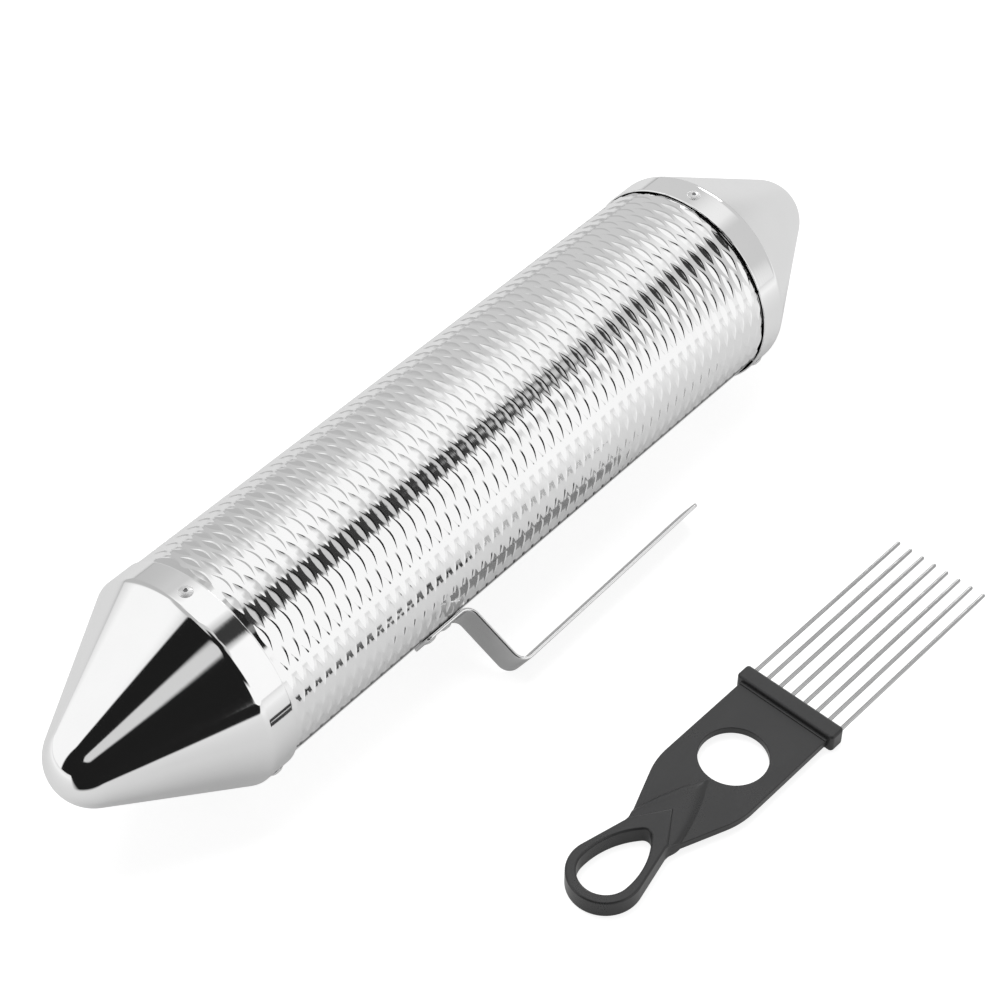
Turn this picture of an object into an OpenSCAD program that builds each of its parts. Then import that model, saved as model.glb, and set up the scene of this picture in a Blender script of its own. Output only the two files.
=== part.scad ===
// Metal guiro and its scraper, lying side by side on a table.
// The guiro is a rolled steel tube with staggered pressed grains, closed by two riveted cone caps
// and carried by a bent strap handle that is riveted along the tube's lap seam.
// The scraper is a moulded comb with eight steel wires.
// Millimetres. X runs along the tube, Z is up, and Z = 0 is the table.

/* [Tube] */
// Length of tube that shows between the two collars
tube_span = 248; // [200:1:320]
// Outer radius of the rolled sheet between its grains
tube_r = 40.4; // [32:0.1:48]
// Thickness of the rolled sheet
sheet_t = 0.6; // [0.5:0.1:0.8]
// Width of the plain margin that the sheet's other edge laps over
seam_w = 18.6; // [17:0.2:24]
// Length of sheet that lies under the lap
lap_w = 12; // [8:1:16]
// Depth of the pressed grains
grain_depth = 0.4; // [0.2:0.05:0.45]
// Distance along the tube from one row of grains to the next, staggered row
grain_pitch = 2.4; // [2.2:0.1:4]
// Number of grains in one turn of the tube
grains_around = 16; // [10:1:18]
// Plain tube between a collar and the first row of grains
plain_edge = 2; // [1:0.5:6]

/* [Cone caps] */
// Thickness of the caps
cap_wall = 0.5; // [0.4:0.1:1.2]
// Length of the collar that goes over the tube
collar_len = 10.7; // [9:0.1:16]
// Length from the collar to the tip
cone_len = 55.5; // [45:0.5:80]
// Outer radius of the rounded tip
tip_r = 16.5; // [8:0.5:22]
// Outer radius of the bend between collar and cone
shoulder_r = 4; // [2:0.1:5]
// Gap between the tube and the inside of a collar
cap_clear = 0.1; // [0.05:0.01:0.3]
// Distance of the tube's end from the cone
tube_stop = 1.5; // [1:0.1:3]

/* [Rivets] */
// Radius of a rivet's head
rivet_head_r = 2.5; // [2:0.1:3]
// Height of a rivet's head
rivet_head_h = 0.8; // [0.5:0.1:1.2]
// Radius of a rivet's shank
rivet_r = 1.2; // [1:0.1:1.6]
// Radius of the end swelled by the stem
rivet_blind_r = 1.8; // [1.7:0.1:2.4]
// Length of the swelled end
rivet_blind_len = 2.6; // [2:0.1:4]
// Radius of the stem left inside
mandrel_r = 0.7; // [0.5:0.05:0.9]
// Radius of the stem's head
mandrel_head_r = 1.25; // [1.1:0.05:1.6]
// Depth of the stem's broken end below the top of the rivet's head
mandrel_sink = 0.7; // [0.3:0.1:1]
// Gap round a shank in its hole
rivet_clear = 0.05; // [0.03:0.01:0.1]
// Gap round a stem in its rivet
mandrel_clear = 0.02; // [0.01:0.01:0.05]

/* [Handle] */
// Width of the strap
strap_w = 14; // [11:0.5:16]
// Thickness of the strap
strap_t = 1.3; // [1:0.1:2]
// Length of the flat foot on the tube
foot_len = 17; // [16:0.5:24]
// Where the foot starts, counted from the middle of the tube
foot_x = -59.5; // [-70:0.5:-55]
// Distance of the grip's outer face from the tube's axis
grip_out = 68.2; // [60:0.1:80]
// Length of the straight grip
grip_len = 94; // [70:1:110]
// Lean of the leg toward the grip, in degrees
leg_lean = 3; // [0:0.5:10]
// Lean of the grip toward the tube, in degrees
grip_lean = 0.8; // [0:0.1:2]
// Inner radius of the bend at the foot
foot_bend = 3.7; // [2.5:0.1:6]
// Inner radius of the bend at the grip
grip_bend = 4.2; // [2.5:0.1:6]
// Radius of the strap's corners
strap_corner = 2.5; // [1:0.5:5]
// Distance of the outer rivet from the foot's end
foot_rivet_in = 4.5; // [4:0.5:5]
// Distance between the two foot rivets
foot_rivet_gap = 8; // [7:0.5:9]

/* [Scraper plate] */
// Width of the plate
plate_w = 37.2; // [32:0.2:48]
// Thickness of the plate
plate_t = 3; // [2.4:0.1:4]
// Radius of the round window
window_r = 12.1; // [8:0.1:13]
// Distance from the window's centre to the head bar
bar_u = 26.8; // [22:0.1:40]
// Radius of the plate's shoulders
shoulder_plate_r = 30; // [25:1:45]
// Distance from the window's centre to where the shoulders start
shoulder_back = 12.7; // [10:0.1:16]

/* [Scraper head] */
// Depth of the head bar along the wires
bar_d = 6.5; // [5.5:0.1:9]
// Length of the bar past the plate at each side
bar_over = 2.2; // [1:0.1:4]
// Thickness of the head bar and of the loop
bar_t = 7.4; // [5:0.1:8]
// Radius of the bar's long edges
bar_edge = 0.9; // [0.4:0.1:1.4]
// Radius of the bar's corners
bar_corner = 1.4; // [0.8:0.1:2]
// Depth of the step where the plate meets the bar
step_d = 1.1; // [0.6:0.1:2]
// Height of that step on each face
step_h = 0.4; // [0.2:0.1:0.6]

/* [Scraper loop] */
// Distance from the window's centre to the loop's centre
loop_u = 65.2; // [62:0.1:80]
// Outer radius of the loop
loop_r = 13; // [12:0.1:15]
// Radius of the finger hole
hole_r = 9.3; // [7.5:0.1:10]
// Distance of the hole's narrow end from the loop's centre
hole_reach = 21.5; // [18:0.1:22]
// Radius of the hole's narrow end
hole_tip_r = 2.6; // [1.5:0.1:3.5]
// Radius of the hole's bowed sides
hole_side_r = 30; // [26:1:45]
// Distance of the neck from the loop's centre
neck_gap = 20.6; // [19.5:0.1:23]
// Half of the neck's width
neck_half = 8.6; // [7.5:0.1:9]
// Radius of the hollow at the neck
neck_r = 5; // [3:0.5:8]
// Distance from the neck to the corners of the raised chevron
chevron_base = 0.5; // [0:0.1:1.5]
// Length of the chevron's point
chevron_len = 12.7; // [9:0.1:15]
// Length of the slope's foot along the plate's edge
slope_edge = 4.3; // [3:0.1:6]
// Distance of the slope's point from the window
slope_gap = 0.5; // [0.3:0.1:3]

/* [Wires] */
// Radius of a wire
wire_r = 0.75; // [0.6:0.05:1]
// Length of wire that shows
wire_len = 84.5; // [60:0.5:100]
// Depth of a wire in the head
wire_in = 5; // [4:0.5:5]
// Gap round a wire in its socket
wire_clear = 0.02; // [0.01:0.01:0.05]

/* [Place on the table] */
// Distance of the window's centre from the tube's middle, along the tube
scraper_x = -17.3; // [-60:0.1:60]
// Distance of the window's centre from the tube's axis, across the tube
scraper_off = 137.2; // [110:0.1:180]
// Turn of the scraper against the tube, in degrees
scraper_turn = -1.9; // [-6:0.1:-1]

/* [Hidden] */
$fn = 96;
EPS = 0.01;
// Arcs stand this much proud of the lines they run into, so that they cross them and never just miss
ARC_OVER = 0.002;
TINE_COUNT = 8;
CAP_RIVET_ANGLES = [0, 120, 240];

// Radii of the collars, and places along the tube
collar_in = tube_r + cap_clear;
collar_r = collar_in + cap_wall;
rim_x = tube_span / 2;
cone_x = rim_x + collar_len;
tube_end = cone_x - tube_stop;
rivet_x = rim_x + collar_len / 2;

// Angles round the tube are counted from the handle, which is at 0 before the guiro is rolled
seam_half = seam_w / 2 / tube_r * 180 / PI;
lap_angle = lap_w / tube_r * 180 / PI;
MARGIN_FACETS = 5;
margin_step = 2 * seam_half / MARGIN_FACETS;
DIVE_COLUMNS = 4;
band_columns = 2 * grains_around;
band_step = (360 - 2 * seam_half) / band_columns;
columns = MARGIN_FACETS + 1 + band_columns;

// The margin lies one sheet lower than the rest, and its facets touch the circle of this radius
margin_r = tube_r - sheet_t;
margin_corner_r = margin_r / cos(margin_step / 2);

// Rows of grains, with one plain row and the tube's end beyond them at each side
grain_rows = floor((tube_span - 2 * plain_edge) / grain_pitch) - 1;
rows = grain_rows + 4;

function is_band(c) = c > MARGIN_FACETS;
function band_index(c) = c - MARGIN_FACETS - 1;

// Share of the dive under the lap that is reached at a column of the embossed band
function dive(j) = max(0, (j - band_columns + DIVE_COLUMNS) / DIVE_COLUMNS);
function band_r(j) = tube_r + (margin_corner_r - tube_r) * dive(j);

function column_angle(c) =
    is_band(c) ? seam_half + band_index(c) * band_step : -seam_half + c * margin_step;

function column_r(c) = is_band(c) ? band_r(band_index(c)) : margin_corner_r;

// The inner ring's corners stand apart at the sheet's edge, where two outer corners share one angle
function inner_angle(c) =
    c == MARGIN_FACETS ? seam_half - margin_step / 4
    : c == MARGIN_FACETS + 1 ? seam_half + band_step / 4
    : column_angle(c);

function inner_r(c) =
    !is_band(c) || column_angle(c) < seam_half + lap_angle
        ? margin_corner_r - sheet_t
        : column_r(c) - sheet_t;

function is_grain_row(r) = r > 1 && r < rows - 2;
function is_grain(r, c) = is_grain_row(r) && is_band(c % columns) && (r + c) % 2 == 0;
function outer_r(r, c) = column_r(c) - (is_grain(r, c) ? grain_depth : 0);

function row_x(r) =
    r == 0 ? -tube_end
    : r == rows - 1 ? tube_end
    : (r - (rows - 1) / 2) * grain_pitch;

function ring_point(x, r, a) = [x, -r * sin(a), -r * cos(a)];

// Index of a corner in the tube's list of points
function outer_id(r, c) = r * columns + c % columns;
function inner_id(side, c) = (rows + side) * columns + c % columns;

// A quad of the outer skin lies flat beside the band and along its plain rows
function is_flat(r, c) =
    !(is_grain_row(r) || is_grain_row(r + 1)) || c <= MARGIN_FACETS;

// Other quads are cut between their two plain corners, so each grain is one hollow pyramid
function is_cut_straight(r, c) = is_grain(r + 1, c) || is_grain(r, c + 1);

tube_points = concat(
    [for (r = [0 : rows - 1], c = [0 : columns - 1])
        ring_point(row_x(r), outer_r(r, c), column_angle(c))],
    [for (x = [-tube_end, tube_end], c = [0 : columns - 1])
        ring_point(x, inner_r(c), inner_angle(c))]
);

function skin_faces(r, c) =
    let (a = outer_id(r, c), b = outer_id(r, c + 1), d = outer_id(r + 1, c), e = outer_id(r + 1, c + 1))
    is_flat(r, c) ? [[a, b, e, d]]
    : is_cut_straight(r, c) ? [[a, b, e], [a, e, d]]
    : [[a, b, d], [b, e, d]];

tube_faces = concat(
    [for (r = [0 : rows - 2], c = [0 : columns - 1]) each skin_faces(r, c)],
    [for (c = [0 : columns - 1])
        [inner_id(0, c), inner_id(0, c + 1), outer_id(0, c + 1), outer_id(0, c)]],
    [for (c = [0 : columns - 1])
        [outer_id(rows - 1, c), outer_id(rows - 1, c + 1), inner_id(1, c + 1), inner_id(1, c)]],
    [for (c = [0 : columns - 1])
        [inner_id(0, c + 1), inner_id(0, c), inner_id(1, c), inner_id(1, c + 1)]]
);

// Cone cap: the cone's line touches the bend at the collar and the rounded tip
tip_u = cone_len - tip_r;
cone_fall = atan2(collar_r, tip_u) - asin(tip_r / norm([collar_r, tip_u]));
cone_normal = [cos(cone_fall), sin(cone_fall)];
bend_centre = [collar_r - shoulder_r, -shoulder_r * tan(cone_fall / 2)];
tip_centre = [0, tip_u];

// Strap: a chain of foot, bend, leg, bend and grip, drawn along the tube and outward from its axis
foot_mid = margin_r + strap_t / 2;
grip_mid = grip_out - strap_t / 2;
turn_1 = 90 - leg_lean;
mid_1 = foot_bend + strap_t / 2;
mid_2 = grip_bend + strap_t / 2;
foot_end = [foot_x + foot_len, foot_mid];
centre_1 = foot_end + [0, mid_1];
leg_start = centre_1 + mid_1 * [sin(turn_1), -cos(turn_1)];
leg_rise = grip_mid - leg_start[1] - mid_2 * (1 - cos(turn_1));
leg_len = leg_rise / sin(turn_1);
leg_end = leg_start + leg_len * [cos(turn_1), sin(turn_1)];
centre_2 = leg_end + mid_2 * [sin(turn_1), -cos(turn_1)];
grip_start = centre_2 + mid_2 * [sin(grip_lean), cos(grip_lean)];
grip_end_x = round(100 * (grip_start[0] + grip_len * cos(grip_lean))) / 100;
foot_rivet_xs = [foot_x + foot_rivet_in, foot_x + foot_rivet_in + foot_rivet_gap];

// The guiro lies on its collars and on the lower edge of the strap at the grip's bend
strap_reach = centre_2[1] + mid_2 + strap_t / 2;
guiro_roll = acos(collar_r / norm([strap_reach, strap_w / 2])) + atan2(strap_w / 2, strap_reach);

// Scraper: U runs from the window's centre toward the wires
plate_half = plate_w / 2;
bar_half = plate_half + bar_over;
bar_front = bar_u + bar_d;
mid_z = bar_t / 2;
plate_top = mid_z + plate_t / 2;
wire_pitch = plate_w / (TINE_COUNT - 1);
loop_centre = [-loop_u, 0];
neck_u = neck_gap - loop_u;
neck_centre = [neck_u, neck_half + neck_r];
shoulder_centre = [-shoulder_back, plate_half - shoulder_plate_r];

// Straight flanks join the hollow of the neck to the shoulder and to the loop.
// Each flank touches both arcs, and these are the directions across the flanks.
function direction(angle) = [cos(angle), sin(angle)];
function angle_to(from, to) = atan2(to[1] - from[1], to[0] - from[0]);
function flank_open(from, r) = acos((r + neck_r) / norm(neck_centre - from));

loop_across = direction(angle_to(loop_centre, neck_centre) + flank_open(loop_centre, loop_r));
shoulder_across = direction(
    angle_to(shoulder_centre, neck_centre) - flank_open(shoulder_centre, shoulder_plate_r)
);
loop_touch = loop_centre + loop_r * loop_across;
loop_flank = neck_centre - neck_r * loop_across;
shoulder_touch = shoulder_centre + shoulder_plate_r * shoulder_across;
shoulder_flank = neck_centre - neck_r * shoulder_across;

// Half width of the neck, in the hollow or on the flank that leads to the shoulder
function neck_width(u) =
    u < shoulder_flank[0]
        ? neck_centre[1] - sqrt(neck_r ^ 2 - (u - neck_u) ^ 2)
        : shoulder_flank[1] - (u - shoulder_flank[0]) * shoulder_across[0] / shoulder_across[1];

function flipped(point) = [point[0], -point[1]];
function at_height(point, z) = [point[0], point[1], z];

// Corners of the chevron and of the slope's foot are drawn out past the neck's sides, which then cut them
function drawn_out(from, to) = from + 1.15 * (to - from);

chevron_u = neck_u + chevron_base;
chevron_tip = [chevron_u + chevron_len, 0];
chevron_corner = drawn_out(chevron_tip, [chevron_u, neck_width(chevron_u)]);
slope_u = chevron_u + slope_edge;
slope_point = [-window_r - slope_gap, 0];
slope_corner = drawn_out(slope_point, [slope_u, neck_width(slope_u)]);

// Reach of the turned scraper away from the guiro: the head bar's corner or the last wire's tip
bar_reach = bar_corner
    - sin(scraper_turn) * (bar_front - bar_corner)
    + cos(scraper_turn) * (bar_half - bar_corner);
wire_reach = wire_r
    - sin(scraper_turn) * (bar_front + wire_len - wire_r)
    + cos(scraper_turn) * plate_half;

// The origin is below the middle of the box round guiro and scraper
scraper_front = scraper_off + max(bar_reach, wire_reach);
tube_y = (scraper_front - collar_r) / 2;

module place_guiro() {
    translate([0, tube_y, collar_r]) rotate([-guiro_roll, 0, 0]) children();
}

module place_scraper() {
    translate([scraper_x, tube_y - scraper_off, 0]) rotate([0, 0, scraper_turn]) children();
}

// Turns +Z outward, at an angle round the tube and a place along it
module outward(x, angle) {
    translate([x, 0, 0]) rotate([180 - angle, 0, 0]) children();
}

module at_cap_rivets(x) {
    for (angle = CAP_RIVET_ANGLES) outward(x, angle) children();
}

module at_foot_rivets() {
    for (x = foot_rivet_xs) outward(x, 0) children();
}

// A drill that goes through one wall only, from halfway to the axis
module rivet_drill() {
    translate([0, 0, tube_r / 2]) cylinder(r = rivet_r + rivet_clear, h = tube_r);
}

// Half outline of a cap's solid, drawn in from its outer face by an inset
module cap_outline(inset) {
    bend_r = shoulder_r - inset;
    round_r = tip_r - inset;
    polygon([
        [0, -collar_len - inset],
        [collar_r - inset, -collar_len - inset],
        bend_centre + [bend_r, 0],
        bend_centre + (bend_r - ARC_OVER) * cone_normal,
        tip_centre + (round_r - ARC_OVER) * cone_normal,
        tip_centre
    ]);
    translate(bend_centre) circle(r = bend_r);
    intersection() {
        translate(tip_centre) circle(r = round_r);
        square([tip_r, cone_len]);
    }
}

module cone_cap() {
    rotate_extrude() difference() {
        cap_outline(0);
        cap_outline(cap_wall);
    }
}

// Blind rivet seated at a distance from the axis, with its swelled end inside the wall
module rivet_sleeve(seat, inside) {
    dome_r = (rivet_head_r ^ 2 + rivet_head_h ^ 2) / (2 * rivet_head_h);
    rotate_extrude() difference() {
        union() {
            intersection() {
                translate([0, seat + rivet_head_h - dome_r]) circle(r = dome_r);
                translate([0, seat]) square([rivet_head_r, rivet_head_h]);
            }
            translate([0, inside - EPS]) square([rivet_r, seat - inside + 2 * EPS]);
            translate([0, inside - rivet_blind_len]) square([rivet_blind_r, rivet_blind_len]);
        }
        translate([0, inside - rivet_blind_len - 1])
            square([mandrel_r, seat - inside + rivet_blind_len + rivet_head_h + 2]);
    }
}

module rivet_stem(seat, inside) {
    base = inside - rivet_blind_len;
    top = seat + rivet_head_h - mandrel_sink;
    rotate_extrude() union() {
        translate([0, base - EPS]) square([mandrel_r - mandrel_clear, top - base + EPS]);
        intersection() {
            translate([0, base]) circle(r = mandrel_head_r);
            translate([0, base - mandrel_head_r]) square([mandrel_head_r, mandrel_head_r]);
        }
    }
}

// Inner face of the tube's wall beside a cap rivet: the margin's facet, or a facet of the band
function wall_inside(angle) =
    angle == 0
        ? margin_corner_r * cos(margin_step / 2) - sheet_t
        : (tube_r - sheet_t) * cos(band_step / 2) - rivet_clear;

module cap_sleeves(x) {
    for (angle = CAP_RIVET_ANGLES) outward(x, angle) rivet_sleeve(collar_r, wall_inside(angle));
}

module cap_stems(x) {
    for (angle = CAP_RIVET_ANGLES) outward(x, angle) rivet_stem(collar_r, wall_inside(angle));
}

module body_tube() {
    color("Silver") place_guiro() difference() {
        polyhedron(points = tube_points, faces = tube_faces, convexity = 4);
        at_cap_rivets(-rivet_x) rivet_drill();
        at_cap_rivets(rivet_x) rivet_drill();
        at_foot_rivets() rivet_drill();
    }
}

module front_cone() {
    color("Gainsboro") place_guiro() difference() {
        translate([-cone_x, 0, 0]) rotate([0, -90, 0]) cone_cap();
        at_cap_rivets(-rivet_x) rivet_drill();
    }
}

module rear_cone() {
    color("Gainsboro") place_guiro() difference() {
        translate([cone_x, 0, 0]) rotate([0, 90, 0]) cone_cap();
        at_cap_rivets(rivet_x) rivet_drill();
    }
}

module front_rivets() {
    color("LightGray") place_guiro() cap_sleeves(-rivet_x);
}

module front_mandrels() {
    color("DimGray") place_guiro() cap_stems(-rivet_x);
}

module rear_rivets() {
    color("LightGray") place_guiro() cap_sleeves(rivet_x);
}

module rear_mandrels() {
    color("DimGray") place_guiro() cap_stems(rivet_x);
}

// Block under a line beside the strap's middle.
// The line follows foot, bend, leg, bend and grip, and runs on past both ends.
module under_strap(beside, past) {
    r_1 = mid_1 - beside;
    r_2 = mid_2 + beside;
    wide = strap_w + 2 * past;
    across_leg = [sin(turn_1), -cos(turn_1)];
    across_grip = [sin(grip_lean), cos(grip_lean)];
    foot_touch = centre_1 - [0, r_1];
    grip_touch = centre_2 + r_2 * across_grip;
    grip_past = grip_touch + (grip_len + past) * [cos(grip_lean), -sin(grip_lean)];
    rotate([-90, 0, 0]) difference() {
        union() {
            linear_extrude(wide, center = true) polygon([
                [foot_x - past, -past],
                [foot_x - past, foot_touch[1]],
                foot_touch,
                centre_1 + r_1 * across_leg,
                centre_2 - r_2 * across_leg,
                grip_touch,
                grip_past,
                [grip_past[0], -past]
            ]);
            translate(centre_2) cylinder(r = r_2 + ARC_OVER, h = wide, center = true);
        }
        translate(centre_1) cylinder(r = r_1 + ARC_OVER, h = wide + 2, center = true);
    }
}

module rounded_plate(x0, x1, half, corner) {
    for (x = [x0 + corner, x1 - corner], y = [-half + corner, half - corner])
        translate([x, y]) circle(r = corner);
    translate([x0, -half + corner]) square([x1 - x0, 2 * (half - corner)]);
    translate([x0 + corner, -half]) square([x1 - x0 - 2 * corner, 2 * half]);
}

module handle_strap() {
    color("DarkGray") place_guiro() difference() {
        intersection() {
            difference() {
                under_strap(strap_t / 2, 1);
                under_strap(-strap_t / 2, 2);
            }
            translate([0, 0, -grip_out - strap_w]) linear_extrude(grip_out + strap_w)
                rounded_plate(foot_x, grip_end_x, strap_w / 2, strap_corner);
        }
        at_foot_rivets() rivet_drill();
    }
}

module handle_rivets() {
    color("LightGray") place_guiro() at_foot_rivets() rivet_sleeve(margin_r + strap_t, wall_inside(0));
}

module handle_mandrels() {
    color("DimGray") place_guiro() at_foot_rivets() rivet_stem(margin_r + strap_t, wall_inside(0));
}

// Outline of plate, neck and loop, seen from above.
// Its areas overlap well inside, and their corners stand where one arc passes into the next.
module scraper_outline() {
    translate([-shoulder_back, -plate_half])
        square([bar_u + shoulder_back + bar_d / 2, plate_w]);
    intersection() {
        translate(shoulder_centre) circle(r = shoulder_plate_r + ARC_OVER);
        translate(flipped(shoulder_centre)) circle(r = shoulder_plate_r + ARC_OVER);
        translate([shoulder_touch[0] - 1, -plate_half])
            square([bar_u - shoulder_touch[0], plate_w]);
    }
    difference() {
        polygon([
            [bar_u, 0],
            shoulder_touch, shoulder_flank, loop_flank, loop_touch,
            flipped(loop_touch), flipped(loop_flank), flipped(shoulder_flank), flipped(shoulder_touch)
        ]);
        translate(neck_centre) circle(r = neck_r + ARC_OVER);
        translate(flipped(neck_centre)) circle(r = neck_r + ARC_OVER);
    }
    translate(loop_centre) circle(r = loop_r + ARC_OVER);
}

// Finger hole: a round end drawn out to a narrow one, with bowed sides that touch both
module finger_hole() {
    tip_at = [hole_reach - hole_tip_r, 0];
    to_round = hole_side_r - hole_r;
    to_tip = hole_side_r - hole_tip_r;
    side_u = (to_round ^ 2 - to_tip ^ 2 + tip_at[0] ^ 2) / (2 * tip_at[0]);
    side_at = [side_u, -sqrt(to_round ^ 2 - side_u ^ 2)];
    round_touch = -hole_r * side_at / to_round;
    tip_touch = tip_at + hole_tip_r * (tip_at - side_at) / to_tip;
    translate(loop_centre) {
        circle(r = hole_r + ARC_OVER);
        translate(tip_at) circle(r = hole_tip_r + ARC_OVER);
        intersection() {
            translate(side_at) circle(r = hole_side_r);
            translate(flipped(side_at)) circle(r = hole_side_r);
            translate([round_touch[0], -hole_r]) square([tip_touch[0] - round_touch[0], 2 * hole_r]);
        }
    }
}

// Area of the thick loop, which ends in a point on the neck
module loop_area() {
    polygon([
        [-2 * loop_u, -loop_u],
        [chevron_corner[0], -loop_u],
        flipped(chevron_corner),
        chevron_tip,
        chevron_corner,
        [chevron_corner[0], loop_u],
        [-2 * loop_u, loop_u]
    ]);
}

// Slopes from the chevron down to the plate, meeting in a point just before the window
module neck_slope() {
    points = [
        at_height(chevron_corner, bar_t),
        at_height(chevron_tip, bar_t),
        at_height(flipped(chevron_corner), bar_t),
        at_height(slope_corner, plate_top),
        at_height(slope_point, plate_top),
        at_height(flipped(slope_corner), plate_top),
        at_height(chevron_corner, mid_z),
        at_height(slope_corner, mid_z),
        at_height(slope_point, mid_z),
        at_height(flipped(slope_corner), mid_z),
        at_height(flipped(chevron_corner), mid_z)
    ];
    faces = [
        [0, 1, 2],
        [0, 3, 4], [0, 4, 1],
        [1, 4, 2], [4, 5, 2],
        [0, 6, 7, 3], [3, 7, 8, 4], [4, 8, 9, 5], [5, 9, 10, 2],
        [2, 10, 6, 0],
        [6, 10, 9, 8, 7]
    ];
    polyhedron(points = points, faces = faces);
}

// Bar across the plate's end, with rounded long edges and corners
module head_bar() {
    section_half = bar_d / 2;
    intersection() {
        translate([bar_u + section_half, bar_half + 1, mid_z]) rotate([90, 0, 0])
            linear_extrude(2 * bar_half + 2)
                rounded_plate(-section_half, section_half, bar_t / 2, bar_edge);
        translate([0, 0, -1]) linear_extrude(bar_t + 2)
            rounded_plate(bar_u, bar_front, bar_half, bar_corner);
    }
}

module wire_socket(v) {
    translate([bar_front - wire_in, v, mid_z]) rotate([0, 90, 0])
        cylinder(r = wire_r + wire_clear, h = wire_in + 1);
}

function wire_v(i) = plate_half - (i - 1) * wire_pitch;

module scraper_body() {
    color("DimGray") place_scraper() difference() {
        union() {
            translate([0, 0, mid_z - plate_t / 2]) linear_extrude(plate_t) scraper_outline();
            linear_extrude(bar_t) intersection() {
                scraper_outline();
                loop_area();
            }
            intersection() {
                union() {
                    neck_slope();
                    translate([0, 0, bar_t]) mirror([0, 0, 1]) neck_slope();
                }
                translate([0, 0, -1]) linear_extrude(bar_t + 2) scraper_outline();
            }
            translate([bar_u - step_d, -plate_half, mid_z - plate_t / 2 - step_h])
                cube([step_d + bar_d / 2, plate_w, plate_t + 2 * step_h]);
            head_bar();
        }
        translate([0, 0, -1]) cylinder(r = window_r, h = bar_t + 2);
        translate([0, 0, -1]) linear_extrude(bar_t + 2) finger_hole();
        for (i = [1 : TINE_COUNT]) wire_socket(wire_v(i));
    }
}

// One wire with a rounded free end
module tine(i) {
    straight = wire_in + wire_len - wire_r;
    color("LightGray") place_scraper()
        translate([bar_front - wire_in, wire_v(i), mid_z]) rotate([0, 90, 0])
            rotate_extrude() {
                square([wire_r, straight]);
                intersection() {
                    translate([0, straight]) circle(r = wire_r);
                    translate([0, straight]) square(wire_r);
                }
            }
}

body_tube();
front_cone();
rear_cone();
front_rivets();
front_mandrels();
rear_rivets();
rear_mandrels();
handle_strap();
handle_rivets();
handle_mandrels();
scraper_body();
tine(1);  // tine_1
tine(2);  // tine_2
tine(3);  // tine_3
tine(4);  // tine_4
tine(5);  // tine_5
tine(6);  // tine_6
tine(7);  // tine_7
tine(8);  // tine_8
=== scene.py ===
# %% [markdown]
# A metal guiro and its scraper.
# The guiro is a rolled steel tube covered with pressed grains. Two spun cone caps close it, and a bent
# strap is its handle. The scraper beside it is a moulded comb with eight steel wires.
# The solid model gives every piece its place. This lesson dresses each piece in a finer mesh and a finish.

# %% Load the solid model as a fixed frame
import math

import bmesh
import bpy
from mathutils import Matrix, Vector


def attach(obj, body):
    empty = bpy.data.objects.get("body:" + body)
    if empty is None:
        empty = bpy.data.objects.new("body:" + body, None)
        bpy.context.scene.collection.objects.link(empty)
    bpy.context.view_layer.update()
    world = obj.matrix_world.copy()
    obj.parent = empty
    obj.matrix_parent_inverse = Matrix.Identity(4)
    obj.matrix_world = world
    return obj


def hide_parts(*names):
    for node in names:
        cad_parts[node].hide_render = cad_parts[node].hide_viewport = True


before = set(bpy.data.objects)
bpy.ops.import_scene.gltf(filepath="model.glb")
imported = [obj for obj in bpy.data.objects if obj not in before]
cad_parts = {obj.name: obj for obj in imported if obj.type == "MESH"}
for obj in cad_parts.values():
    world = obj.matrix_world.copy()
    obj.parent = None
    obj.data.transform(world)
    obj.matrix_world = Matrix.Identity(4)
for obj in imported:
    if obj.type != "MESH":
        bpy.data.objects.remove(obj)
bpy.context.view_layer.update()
print("pieces in the solid model:", len(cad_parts))

# %% [markdown]
# All sizes below are millimetres, as a maker would write them, and become metres when a mesh is made.
# The guiro lies rolled over on its handle, so places on it are given by the distance along the tube,
# the distance from its axis and the angle round it, counted from the handle.
# The scraper has its own directions: one from its window toward the wires, and one across.

# %% Sizes and places
MM = 0.001
AXIS_Y = 59.710
AXIS_Z = 41.0
ROLL = math.radians(59.131)
SCRAPER_AT = (-17.3, -77.490)
SCRAPER_TURN = math.radians(-1.9)


def beside_handle(along, out, side):
    """Point at a distance outward along the handle's line and a distance to its side."""
    y = side * math.cos(ROLL) - out * math.sin(ROLL)
    z = -side * math.sin(ROLL) - out * math.cos(ROLL)
    return (along, AXIS_Y + y, AXIS_Z + z)


def on_scraper(u, v, z):
    """Point on the scraper: u toward the wires, v across, z above the table."""
    x = SCRAPER_AT[0] + u * math.cos(SCRAPER_TURN) - v * math.sin(SCRAPER_TURN)
    y = SCRAPER_AT[1] + u * math.sin(SCRAPER_TURN) + v * math.cos(SCRAPER_TURN)
    return (x, y, z)


print("axis of the tube:", AXIS_Y, "mm back and", AXIS_Z, "mm up")

# %% [markdown]
# Every piece ends as a plain mesh whose place is in its points. One helper makes such a mesh, turns its
# faces outward and shades it smooth, with crisp edges wherever two faces meet at more than a set angle.

# %% Helpers that make and finish a mesh
CRISP = 32


def turn_outward(mesh, weld=0.0):
    """Turns all faces outward, after joining the points that are closer than a weld."""
    shape = bmesh.new()
    shape.from_mesh(mesh)
    if weld:
        bmesh.ops.remove_doubles(shape, verts=shape.verts, dist=weld)
    bmesh.ops.recalc_face_normals(shape, faces=shape.faces)
    shape.to_mesh(mesh)
    shape.free()


def finish_mesh(mesh, crisp=CRISP):
    turn_outward(mesh)
    mesh.shade_smooth()
    mesh.set_sharp_from_angle(angle=math.radians(crisp))


def placed(name, data):
    """A new object in the scene."""
    made = bpy.data.objects.new(name, data)
    bpy.context.scene.collection.objects.link(made)
    return made


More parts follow.
